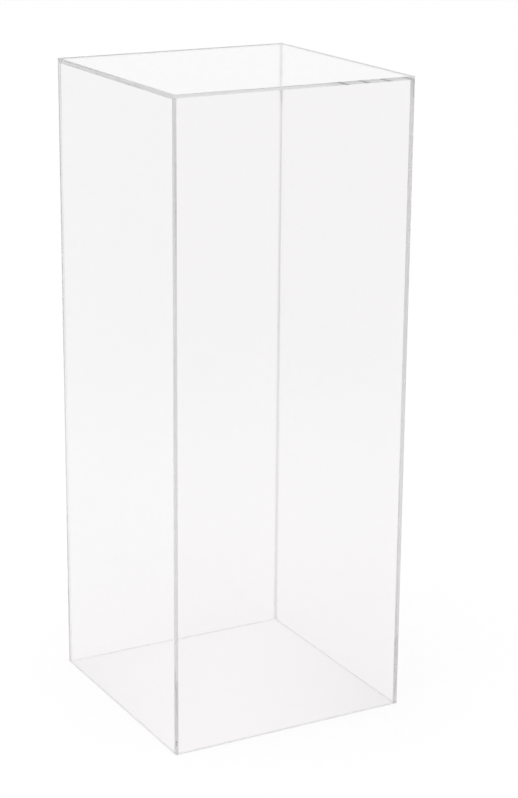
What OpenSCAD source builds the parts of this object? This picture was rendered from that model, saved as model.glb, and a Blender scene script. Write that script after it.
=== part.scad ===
// Pedestal display case: a tall five-sided box of clear acrylic sheet, closed at the top
// and open at the bottom. The panels are butted together and solvent cemented.
// Origin at the centre of the footprint, +Z up, front towards -Y, all sizes in millimetres.

/* [Case] */
// Width outside, from left to right
case_w = 300; // [120:1:600]
// Depth outside, from front to back
case_d = 300; // [120:1:600]
// Height outside, from the open rim to the top face
case_h = 762; // [100:1:1200]

/* [Sheet] */
// Thickness of the sheet that the walls are cut from
wall_t = 4.2; // [3:0.1:12]
// Thickness of the sheet that the top is cut from
top_t = 4.2; // [3:0.1:12]

/* [Finish] */
// Width of the break on each polished edge that stays in the open
edge_break = 0.1; // [0.1:0.05:1]
// Thickness of the cement film in each butt joint
cement_film = 0.04; // [0.02:0.01:0.1]

/* [Hidden] */

// The front and the back run the full width and height. The side panels and the top
// stand between them, and the top lies on the side panels.
between = case_d - 2 * (wall_t + cement_film);
side_h = case_h - top_t - cement_film;
clear_acrylic = [0.86, 0.9, 0.92, 0.45];

// Section of the front and the back wall, outer face at u = 0, standing on v = 0. The
// polished edges are broken at the outer top, the outer bottom and the inner bottom.
// The inner top edge meets the top panel and stays sharp.
module full_wall_section() {
    polygon([
        [edge_break, 0],
        [wall_t - edge_break, 0],
        [wall_t, edge_break],
        [wall_t, case_h],
        [edge_break, case_h],
        [0, case_h - edge_break],
        [0, edge_break]
    ]);
}

// Section of a side wall. It ends square under the top panel.
module side_wall_section() {
    polygon([
        [edge_break, 0],
        [wall_t - edge_break, 0],
        [wall_t, edge_break],
        [wall_t, side_h],
        [0, side_h],
        [0, edge_break]
    ]);
}

// Runs a wall section along the X axis, centred, with its outer face towards -Y.
module wall(len) {
    rotate([90, 0, 90])
        linear_extrude(height = len, center = true)
            children();
}

// Plan of a wall whose two ends show at the corners of the case: the outer upright
// edges are broken, and the inner ones meet the side panels.
module end_grain_plan() {
    polygon([
        [-case_w / 2 + edge_break, 0],
        [case_w / 2 - edge_break, 0],
        [case_w / 2, edge_break],
        [case_w / 2, wall_t],
        [-case_w / 2, wall_t],
        [-case_w / 2, edge_break]
    ]);
}

// Elevation of the same wall, with its short edges broken at the top and the bottom.
module end_grain_elevation() {
    polygon([
        [-case_w / 2 + edge_break, 0],
        [case_w / 2 - edge_break, 0],
        [case_w / 2, edge_break],
        [case_w / 2, case_h - edge_break],
        [case_w / 2 - edge_break, case_h],
        [-case_w / 2 + edge_break, case_h],
        [-case_w / 2, case_h - edge_break],
        [-case_w / 2, edge_break]
    ]);
}

// A wall across the full width of the case. It covers the ends of the side panels and of
// the top.
module full_width_wall() {
    intersection() {
        wall(case_w)
            full_wall_section();
        linear_extrude(height = case_h)
            end_grain_plan();
        translate([0, wall_t, 0])
            rotate([90, 0, 0])
                linear_extrude(height = wall_t)
                    end_grain_elevation();
    }
}

// Front wall.
module front_panel() {
    color(clear_acrylic)
        translate([0, -case_d / 2, 0])
            full_width_wall();
}

// Back wall, the front wall's mirror image.
module back_panel() {
    color(clear_acrylic)
        mirror([0, 1, 0])
            translate([0, -case_d / 2, 0])
                full_width_wall();
}

// Side wall, between the front and the back and under the top.
module side_panel() {
    color(clear_acrylic)
        rotate([0, 0, -90])
            translate([0, -case_w / 2, 0])
                wall(between)
                    side_wall_section();
}

// Left wall.
module left_panel() {
    side_panel();
}

// Right wall, the left wall's mirror image.
module right_panel() {
    mirror([1, 0, 0])
        side_panel();
}

// Elevation of the top: its two ends are flush with the side panels' outer faces, and
// their upper edges are broken.
module top_elevation() {
    polygon([
        [-case_w / 2, 0],
        [case_w / 2, 0],
        [case_w / 2, top_t - edge_break],
        [case_w / 2 - edge_break, top_t],
        [-case_w / 2 + edge_break, top_t],
        [-case_w / 2, top_t - edge_break]
    ]);
}

// Top, laid on the side panels and let in flush between the front and the back.
module top_panel() {
    color(clear_acrylic)
        translate([0, 0, case_h - top_t])
            rotate([90, 0, 0])
                linear_extrude(height = between, center = true)
                    top_elevation();
}

front_panel();
back_panel();
left_panel();
right_panel();
top_panel();
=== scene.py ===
import math

import bpy
from mathutils import Matrix, Vector


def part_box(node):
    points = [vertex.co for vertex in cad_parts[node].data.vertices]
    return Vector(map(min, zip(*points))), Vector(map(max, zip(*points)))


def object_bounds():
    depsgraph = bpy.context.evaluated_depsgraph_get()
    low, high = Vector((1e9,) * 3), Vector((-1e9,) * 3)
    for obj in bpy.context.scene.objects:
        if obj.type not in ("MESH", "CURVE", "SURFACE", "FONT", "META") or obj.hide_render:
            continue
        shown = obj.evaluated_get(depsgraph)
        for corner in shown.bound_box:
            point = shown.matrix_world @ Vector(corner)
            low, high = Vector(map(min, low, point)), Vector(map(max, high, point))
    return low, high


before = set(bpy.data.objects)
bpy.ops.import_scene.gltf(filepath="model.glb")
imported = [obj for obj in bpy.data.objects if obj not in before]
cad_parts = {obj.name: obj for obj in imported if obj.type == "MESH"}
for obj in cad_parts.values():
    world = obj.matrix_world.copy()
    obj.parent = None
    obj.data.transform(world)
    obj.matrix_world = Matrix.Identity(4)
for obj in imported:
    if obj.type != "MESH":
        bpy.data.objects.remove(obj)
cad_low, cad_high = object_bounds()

# ---------------------------------------------------------------- camera
# The photograph's camera: a long lens from in front and to the left, a little above the
# top. The eye is measured from the centre of the footprint, and the three angles turn
# the view about the upright, tip it down and roll it in the picture.
eye = Vector((-1.15833, -2.15182, 1.12049))
turn_right = math.radians(29.0814)
tip_down = math.radians(17.137)
roll_left = math.radians(0.4913)
lens_mm = 96.8095
sensor_mm = 36.0

camera = bpy.data.objects.new("camera", bpy.data.cameras.new("camera"))
bpy.context.scene.collection.objects.link(camera)
camera.data.sensor_width = sensor_mm
camera.data.lens = lens_mm
camera.matrix_world = (
    Matrix.Translation(eye)
    @ Matrix.Rotation(-turn_right, 4, "Z")
    @ Matrix.Rotation(math.radians(90) - tip_down, 4, "X")
    @ Matrix.Rotation(roll_left, 4, "Z")
)
bpy.context.scene.camera = camera
bpy.context.scene.view_settings.view_transform = "Standard"

# Light runs along inside the sheet and bounces many times before it leaves by a polished
# edge, so it is followed much further than usual.
bounces_in_sheet = 160
films_crossed = 64
cycles = bpy.context.scene.cycles
cycles.max_bounces = bounces_in_sheet
cycles.transmission_bounces = bounces_in_sheet
cycles.glossy_bounces = bounces_in_sheet
cycles.transparent_max_bounces = films_crossed
# Guided by the picture alone, the noise filter leaves thin bright edges straight.
cycles.denoising_input_passes = "RGB"

# ---------------------------------------------------------------- studio
# White paper that runs out into a white surround, lit by one large soft lamp from above.
# Soft grey fields low in the surround stand where a studio ends, and show only in the
# polished edges. The paper is seen as white, and keeps the case's shadow.
MM = 0.001
X, Y, Z = range(3)
WHITE = (1.0, 1.0, 1.0, 1.0)
BLACK = (0.0, 0.0, 0.0, 1.0)
PAPER = (0.8, 0.8, 0.8, 1.0)
paper_glow = 0.21
paper_drop = 0.2 * MM
# The paper is full out to one distance from the centre, and has run out at the other
paper_full = 0.8
paper_ends = 1.6
# The paper inside the case has a painted shade: everywhere by the first share, more by the
# second towards the left and the right end of the picture, and more by the third at the right
shade_turn = math.radians(29)
shade_inside = 0.032
shade_at_ends = 0.042
shade_to_right = 0.005
# A thin painted shade lies along the foot of the walls, in as far as the sheet is thick
contact_in = 4.2 * MM
contact_out = 0.8 * MM
contact_shade = 0.12
lamp_share = 0.5
lamp_tip = math.radians(10)
lamp_turn = math.radians(-60)
lamp_spread = math.radians(40)
surround_share = 0.5
ceiling_shade = 0.4
ceiling_least = 0.7
# Compass heading and height in degrees, width as a share of the distance, and depth
grey_fields = [
    (-29, -10, 0.2, 0.08),
    (151, -13, 0.28, 0.17),
]


class Wire:
    """An output of a node. Sums written on wires become Math nodes in the same tree."""

    def __init__(self, tree, socket=None):
        self.tree = tree
        self.socket = socket

    def node(self, kind, settings=None, sockets=None):
        """Add a node, set its settings, then feed each named socket a value or a wire."""
        added = self.tree.nodes.new(kind)
        for name, value in (settings or {}).items():
            setattr(added, name, value)
        for name, value in (sockets or {}).items():
            if isinstance(value, Wire):
                self.tree.links.new(value.socket, added.inputs[name])
            else:
                added.inputs[name].default_value = value
        return Wire(self.tree, added.outputs[0] if added.outputs else None)

    def out(self, name):
        """Another output of the same node."""
        return Wire(self.tree, self.socket.node.outputs[name])

    def axes(self):
        """The three numbers of a vector."""
        split = self.node("ShaderNodeSeparateXYZ", sockets={0: self})
        return [split.out(axis) for axis in "XYZ"]

    def maths(self, operation, first, second=0.0):
        return self.node("ShaderNodeMath", {"operation": operation}, {0: first, 1: second})

    def __add__(self, other):
        return self.maths("ADD", self, other)

    __radd__ = __add__

    def __sub__(self, other):
        return self.maths("SUBTRACT", self, other)

    def __rsub__(self, other):
        return self.maths("SUBTRACT", other, self)

    def __mul__(self, other):
        return self.maths("MULTIPLY", self, other)

    __rmul__ = __mul__

    def __truediv__(self, other):
        return self.maths("DIVIDE", self, other)

    def __gt__(self, other):
        return self.maths("GREATER_THAN", self, other)

    def __lt__(self, other):
        return self.maths("LESS_THAN", self, other)

    def __abs__(self):
        return self.maths("ABSOLUTE", self)

    def exp(self):
        return self.maths("EXPONENT", self)

    def most(self, other):
        return self.maths("MAXIMUM", self, other)

    def least(self, other):
        return self.maths("MINIMUM", self, other)


def blank_nodes(owner):
    """Clear the nodes of a material or a world, and return a pen that adds new ones."""
    owner.use_nodes = True
    owner.node_tree.nodes.clear()
    return Wire(owner.node_tree)


corners = [(-1, -1), (1, -1), (1, 1), (-1, 1)]
floor_mesh = bpy.data.meshes.new("floor")
floor_mesh.from_pydata(
    [(x * paper_ends, y * paper_ends, -paper_drop) for x, y in corners], [], [(0, 1, 2, 3)]
)
floor = bpy.data.objects.new("floor", floor_mesh)
bpy.context.scene.collection.objects.link(floor)

paper = bpy.data.materials.new("white_paper")
pen = blank_nodes(paper)
lit = pen.node("ShaderNodeBsdfDiffuse", sockets={"Color": PAPER})
glow = pen.node("ShaderNodeEmission", sockets={"Color": WHITE, "Strength": paper_glow})
plain_paper = pen.node("ShaderNodeAddShader", sockets={0: lit, 1: glow})

# Painted shade: a near-black share is mixed into the paper inside the case and along the foot
# of the walls
geometry = pen.node("ShaderNodeNewGeometry")
x, y, z = geometry.out("Position").axes()
case_half = cad_high[X]
from_middle = abs(x).most(abs(y))
under_case = from_middle < case_half
under_walls = (from_middle > case_half - contact_in) * (from_middle < case_half + contact_out)
to_right = (x * math.cos(shade_turn) - y * math.sin(shade_turn)) / case_half
inside_shade = shade_inside + to_right * to_right * shade_at_ends + to_right * shade_to_right
shade = under_case * inside_shade + under_walls * contact_shade
in_shade = pen.node("ShaderNodeBsdfDiffuse", sockets={"Color": BLACK})
shaded_paper = pen.node("ShaderNodeMixShader", sockets={0: shade, 1: plain_paper, 2: in_shade})

distance = pen.node(
    "ShaderNodeVectorMath", {"operation": "LENGTH"}, {0: geometry.out("Position")}
).out("Value")
runs_out = pen.node(
    "ShaderNodeMapRange",
    {"interpolation_type": "SMOOTHSTEP"},
    {"Value": distance, "From Min": paper_full, "From Max": paper_ends},
)
gone = runs_out.most(geometry.out("Backfacing"))
unseen = pen.node("ShaderNodeBsdfTransparent")
surface = pen.node("ShaderNodeMixShader", sockets={0: gone, 1: shaded_paper, 2: unseen})
pen.node("ShaderNodeOutputMaterial", sockets={"Surface": surface})
floor.data.materials.append(paper)

lamp = bpy.data.objects.new("lamp", bpy.data.lights.new("lamp", "SUN"))
bpy.context.scene.collection.objects.link(lamp)
lamp.data.energy = math.pi * lamp_share / math.cos(lamp_tip)
lamp.data.angle = lamp_spread
lamp.rotation_euler = (lamp_tip, 0, lamp_turn)

surround = bpy.data.worlds.new("surround")
bpy.context.scene.world = surround
surround.cycles.sampling_method = "NONE"
pen = blank_nodes(surround)
heading = pen.node("ShaderNodeTexCoord").out("Generated")
grey = 0.0
for compass, height, width, depth in grey_fields:
    compass = math.radians(compass)
    height = math.radians(height)
    centre = (
        math.sin(compass) * math.cos(height),
        math.cos(compass) * math.cos(height),
        math.sin(height),
    )
    away = pen.node("ShaderNodeVectorMath", {"operation": "DISTANCE"}, {0: heading, 1: centre})
    away = away.out("Value") / width
    grey = grey + (-1 * away * away).exp() * depth
climb = heading.axes()[Z].most(0)
walls = (1 - climb * climb * ceiling_shade).most(ceiling_least)
path = pen.node("ShaderNodeLightPath")
seen = path.out("Is Camera Ray")
lighting = path.out("Is Diffuse Ray")
dimmed = (walls - grey) * (1 - lighting) + surround_share * lighting
strength = seen + dimmed * (1 - seen)
sky = pen.node("ShaderNodeBackground", sockets={"Color": WHITE, "Strength": strength})
pen.node("ShaderNodeOutputWorld", sockets={"Surface": sky})

# ---------------------------------------------------------------- front panel
# The wall nearest the camera, cut from clear cast acrylic sheet at the full width and
# height of the case. It covers the ends of the side panels and of the top, its own ends
# show at the corners. All its open edges are polished but the lower one, which is partly
# sanded.
CLEAR_TINT = (0.970, 0.963, 0.966, 1.0)
WALL_SHADOW = (0.998, 0.991, 0.994, 1.0)
bend_of_light = 1.49
grey_per_metre = 0.82
# Faces are a little wavy, as cast sheet is. Polished edges have a short ripple and stay
# a touch softer than the faces.
face_wave = 110 * MM
face_wave_high = 0.02 * MM
edge_ripple = 4 * MM
edge_ripple_high = 0.004 * MM
edge_ripple_detail = 1.0
edge_softness = 0.03
# Matt places send half of their light back and half on, and come and go in patches
MATT = (0.66, 0.66, 0.66, 1.0)
sent_on = 0.5
patch = 3 * MM
patch_detail = 2.0
patch_least = 0.6
patch_range = 0.8
# This share of the lower edge is sanded
sanded_share = 0.4
sanded_high = 1.0 * MM
# Two small dark spots in the near corner edge: height above the floor and radius
DARK_MARK = (0.05, 0.05, 0.05, 1.0)
spots = [(12.4 * MM, 0.75 * MM), (16.1 * MM, 0.95 * MM)]
# A face counts as turned along an axis, or partly so, from these shares of its direction
square_on = 0.9
half_on = 0.5
face_slack = 0.01 * MM

front_low, front_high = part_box("front_panel")
left_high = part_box("left_panel")[1]
inner_x = -left_high.x
inner_y = -front_high.y
side_top = left_high.z
top_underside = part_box("top_panel")[0].z


def patches(place, size, detail=0.0):
    """Soft random patches of the given size, as a number near one half."""
    sockets = {"Vector": place, "Scale": 1 / size, "Detail": detail}
    return place.node("ShaderNodeTexNoise", sockets=sockets)


def clear_acrylic(
    node, thin_axis, closed_mask, matt_mask, matt_colour, shadow_tint, dark_mask=None
):
    """Give a panel its clear sheet. thin_axis is the axis that crosses the sheet. The
    masks are made from the point and the face direction: closed_mask marks the share of
    a joint that the cement has closed, so that light passes straight on, matt_mask the
    share of light that a place scatters, and the last mask the share of a near-black colour."""
    material = bpy.data.materials.new("clear_acrylic_" + node)
    pen = blank_nodes(material)
    geometry = pen.node("ShaderNodeNewGeometry")
    place = geometry.out("Position")
    point = place.axes()
    facing = geometry.out("True Normal").axes()
    on_edge = abs(facing[thin_axis]) < square_on

    wave = patches(place, face_wave) * (1 - on_edge) * face_wave_high
    ripple = patches(place, edge_ripple, edge_ripple_detail) * on_edge * edge_ripple_high
    relief = wave + ripple
    bumps = pen.node(
        "ShaderNodeBump", sockets={"Strength": 1.0, "Distance": 1.0, "Height": relief}
    )
    glass = pen.node(
        "ShaderNodeBsdfPrincipled",
        sockets={
            "Base Color": CLEAR_TINT,
            "Roughness": on_edge * edge_softness,
            "IOR": bend_of_light,
            "Transmission Weight": 1.0,
            "Normal": bumps,
        },
    )

    back = pen.node("ShaderNodeBsdfDiffuse", sockets={"Color": matt_colour})
    onward = pen.node("ShaderNodeBsdfTranslucent", sockets={"Color": matt_colour})
    matt = pen.node("ShaderNodeMixShader", sockets={0: sent_on, 1: back, 2: onward})
    patchy = patch_least + patches(place, patch, patch_detail) * patch_range
    matt_share = matt_mask(point, facing) * patchy
    seen_face = pen.node("ShaderNodeMixShader", sockets={0: matt_share, 1: glass, 2: matt})
    # Small dark marks in a near-black colour, where a mask asks for them
    if dark_mask:
        dark = pen.node("ShaderNodeBsdfDiffuse", sockets={"Color": DARK_MARK})
        dark_share = dark_mask(point, facing)
        mix = {0: dark_share, 1: seen_face, 2: dark}
        seen_face = pen.node("ShaderNodeMixShader", sockets=mix)

    # Light that falls on the paper passes straight through the sheet, a little tinted
    path = pen.node("ShaderNodeLightPath")
    lighting = path.out("Is Shadow Ray").most(path.out("Is Diffuse Ray"))
    let_by = pen.node("ShaderNodeBsdfTransparent", sockets={"Color": shadow_tint})
    face = pen.node("ShaderNodeMixShader", sockets={0: lighting, 1: seen_face, 2: let_by})
    closed = closed_mask(point, facing)
    joined = pen.node("ShaderNodeBsdfTransparent")
    surface = pen.node("ShaderNodeMixShader", sockets={0: closed, 1: face, 2: joined})
    inside = pen.node(
        "ShaderNodeVolumeAbsorption", sockets={"Color": BLACK, "Density": grey_per_metre}
    )
    pen.node("ShaderNodeOutputMaterial", sockets={"Surface": surface, "Volume": inside})

    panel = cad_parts[node]
    panel.data.materials.clear()
    panel.data.materials.append(material)


def full_wall_closed(point, facing):
    """The strip of the inner face that covers an end of the top. The upright joints below
    it still hold a film of air."""
    inner = abs(point[Y]) < inner_y + face_slack
    return inner * (point[Z] > (side_top + top_underside) / 2)


def sanded_edge(point, facing):
    """The lower edge of a wall."""
    return (abs(facing[Z]) > half_on) * (point[Z] < sanded_high) * sanded_share


def dark_spots(point, facing):
    """Two small dark spots in the near corner edge."""
    x, y, z = point
    dark = 0.0
    for height, radius in spots:
        aside = x - front_low.x
        out = y - front_low.y
        up = z - height
        dark = dark + (aside * aside + out * out + up * up < radius * radius)
    return dark


clear_acrylic("front_panel", Y, full_wall_closed, sanded_edge, MATT, WALL_SHADOW, dark_spots)

# ---------------------------------------------------------------- back panel
# The same wall at the back. A bead of dried cement stands in the inner corners between
# it and the side panels, wider at the right, thinner upwards and heavy under the top.
bead_share = 0.36
bead_thins = 0.55
heavy_from = 680 * MM
heavy_rise = 45 * MM
heavy_times = 3.9
left_bead = 0.6 * MM
right_bead = 1.6 * MM


def bead_weight(z):
    """Share of light that a bead scatters at a height."""
    heavy = ((z - heavy_from) / heavy_rise).most(0).least(1)
    thinned = bead_share * (1 - z / front_high.z * bead_thins)
    return thinned * (1 + heavy * (heavy_times - 1))


def back_matt(point, facing):
    """The lower edge, and the beads' feet on the inner face."""
    x, y, z = point
    inner = (abs(y) < inner_y + face_slack) * (abs(x) < inner_x)
    beads = (x > inner_x - right_bead) + (x < left_bead - inner_x)
    return sanded_edge(point, facing) + inner * beads * bead_weight(z)


clear_acrylic("back_panel", Y, full_wall_closed, back_matt, MATT, WALL_SHADOW)

# ---------------------------------------------------------------- left panel
# A wall of the same sheet. It stands between the front and the back, ends under the top,
# and is cemented along both ends and the upper edge. A bead stands under the top too, and
# the front joint is starved of cement in one stretch.
left_top_bead = 1.3 * MM
left_starved_at = 641 * MM
left_starved_half = 80 * MM
left_starved_share = 0.4


def nowhere(point, facing):
    """No closed share: all joints of the panel still hold a film of air."""
    return 0.0


def front_end(point, facing):
    """The upright end that the front panel covers."""
    return (abs(facing[Y]) > square_on) * (point[Y] < 0)


def left_matt(point, facing):
    """The lower edge, the beads' feet on the inner face, and the starved stretch."""
    x, y, z = point
    inner = x > -inner_x - face_slack
    beads = (y > inner_y - left_bead).most(z > side_top - left_top_bead)
    off = (z - left_starved_at) / left_starved_half
    starved = (-1 * off * off).exp() * left_starved_share
    on_inner_face = inner * beads * bead_weight(z)
    return sanded_edge(point, facing) + on_inner_face + front_end(point, facing) * starved


clear_acrylic("left_panel", X, nowhere, left_matt, MATT, WALL_SHADOW)

# ---------------------------------------------------------------- right panel
# The left panel's mirror image. Its upper edge is closed in a few places only, its bead
# is smeared forward on the inner face, and its front joint is starved near the top.
right_seat_closed = 0.05
right_smear = 4.8 * MM
right_starved_from = 735 * MM
right_starved_share = 0.35


def right_closed(point, facing):
    """A small share of the upper edge."""
    return (point[Z] > side_top - face_slack) * right_seat_closed


def right_matt(point, facing):
    """The lower edge, the bead's foot on the inner face, and the starved stretch."""
    x, y, z = point
    inner = x < inner_x + face_slack
    bead = y > inner_y - right_smear
    climb = ((z - right_starved_from) / (side_top - right_starved_from)).most(0)
    starved = climb * right_starved_share
    on_inner_face = inner * bead * bead_weight(z)
    return sanded_edge(point, facing) + on_inner_face + front_end(point, facing) * starved


clear_acrylic("right_panel", X, right_closed, right_matt, MATT, WALL_SHADOW)

# ---------------------------------------------------------------- top panel
# The top lies on the side panels, let in flush between the front and the back, and is
# cemented to all four walls. The right panel's edge under it was left sawn, and shows in
# the top's edges as a row of dark marks. A dark strip lies along the outside of that joint.
SAWN = (0.65, 0.65, 0.65, 1.0)
TOP_SHADOW = (0.937, 0.926, 0.930, 1.0)
sawn_share = 0.85
dark_strip_from = 3.2 * MM
dark_strip_share = 0.5


def over_right(point, inset=0.0):
    """The strip of the lower face over the right panel, from an inset outwards."""
    return (point[Z] < top_underside + face_slack) * (point[X] > inner_x + inset)


def top_closed(point, facing):
    """The front and the back edge, and a small share of the seat on the right panel."""
    ends = abs(facing[Y]) > square_on
    return ends + over_right(point) * right_seat_closed


def top_matt(point, facing):
    """The strip over the sawn edge."""
    return over_right(point) * sawn_share


def top_dark_strip(point, facing):
    """The dark strip, from the inset outwards."""
    return over_right(point, dark_strip_from) * dark_strip_share


clear_acrylic("top_panel", Z, top_closed, top_matt, SAWN, TOP_SHADOW, top_dark_strip)
